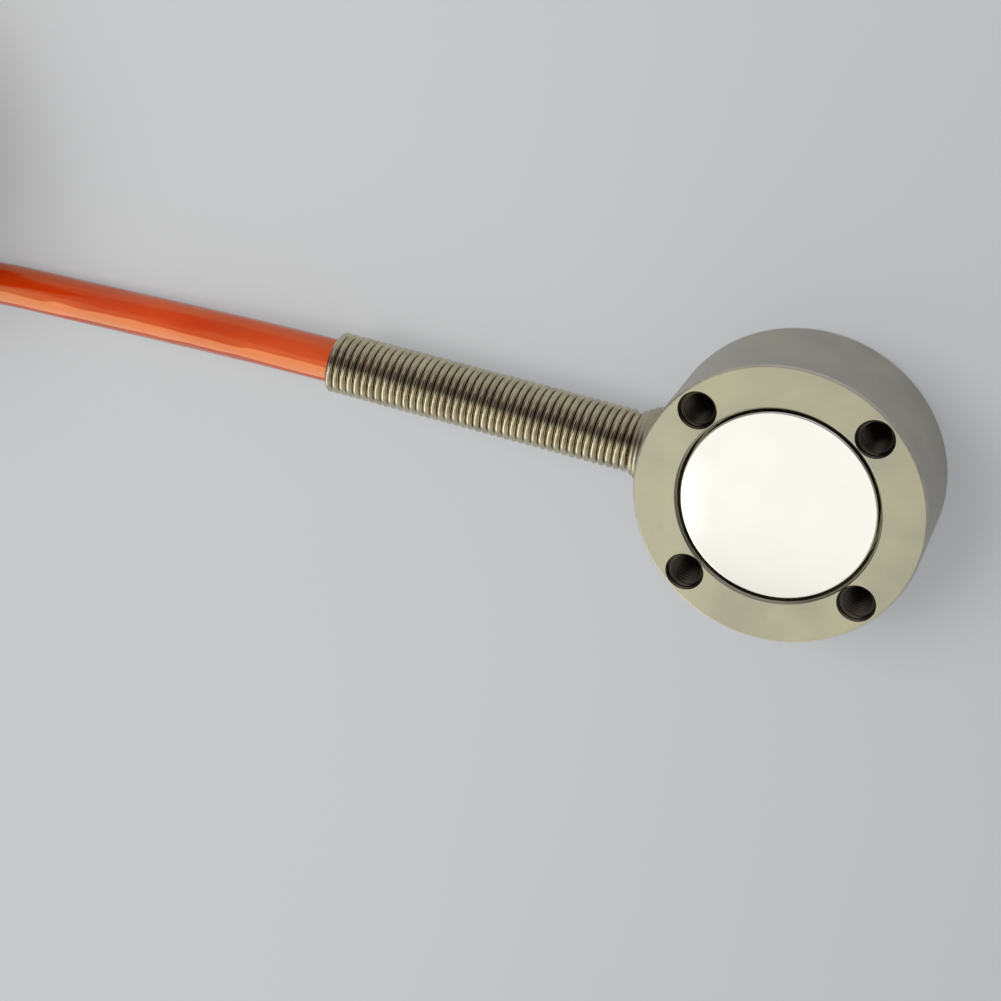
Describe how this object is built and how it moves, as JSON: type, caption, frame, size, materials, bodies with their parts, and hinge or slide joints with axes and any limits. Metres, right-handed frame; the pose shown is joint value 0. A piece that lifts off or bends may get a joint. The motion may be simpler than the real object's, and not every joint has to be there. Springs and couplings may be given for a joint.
{
  "type": "force sensor",
  "caption": "Round button force sensor with a flat load face, tapped ring holes and a cable with a spring strain relief.",
  "frame": {"origin": "centre of the base face that the sensor stands on", "axes": "+Z along the load axis towards the load face, -X along the cable exit"},
  "size_m": [0.1907, 0.0417, 0.0223],
  "materials": {
    "ring_steel": "fine turned stainless steel",
    "plate_steel": "polished stainless steel",
    "cover_steel": "plain rolled stainless sheet",
    "collar_steel": "turned stainless steel",
    "spring_steel": "drawn stainless wire",
    "gauge_film": "polyimide film",
    "copper_wire": "enamelled copper",
    "board_laminate": "glass-fibre laminate",
    "resistor_ceramic": "chip resistor",
    "solder": "tin solder",
    "seal_rubber": "moulded rubber",
    "ferrule_brass": "drawn brass",
    "cable_jacket": "smooth orange jacket",
    "tie_nylon": "natural nylon",
    "sleeve_plastic": "shrunk sleeve",
    "red_insulation": "core insulation",
    "black_insulation": "core insulation",
    "green_insulation": "core insulation",
    "white_insulation": "core insulation"
  },
  "bodies": {
    "root": {"sensor_body": "ring_steel", "load_plate": "plate_steel", "bottom_cover": "cover_steel", "strain_gauge_1": "gauge_film", "strain_gauge_2": "gauge_film", "strain_gauge_3": "gauge_film", "strain_gauge_4": "gauge_film", "gauge_leads": "copper_wire", "terminal_board": "board_laminate", "trim_resistor_1": "resistor_ceramic", "trim_resistor_2": "resistor_ceramic", "trim_resistor_3": "resistor_ceramic", "trim_resistor_4": "resistor_ceramic", "core_red": "red_insulation", "core_black": "black_insulation", "core_green": "green_insulation", "core_white": "white_insulation", "solder_joints": "solder", "gland_collar": "collar_steel", "cable_seal": "seal_rubber", "cable_ferrule": "ferrule_brass", "strain_relief_spring": "spring_steel", "cable": "cable_jacket", "cable_hank": "cable_jacket", "cable_tail": "cable_jacket", "hank_tie": "tie_nylon", "cable_end_sleeve": "sleeve_plastic", "lead_red": "red_insulation", "lead_black": "black_insulation", "lead_green": "green_insulation", "lead_white": "white_insulation", "lead_tips": "solder"}
  },
  "joints": []
}
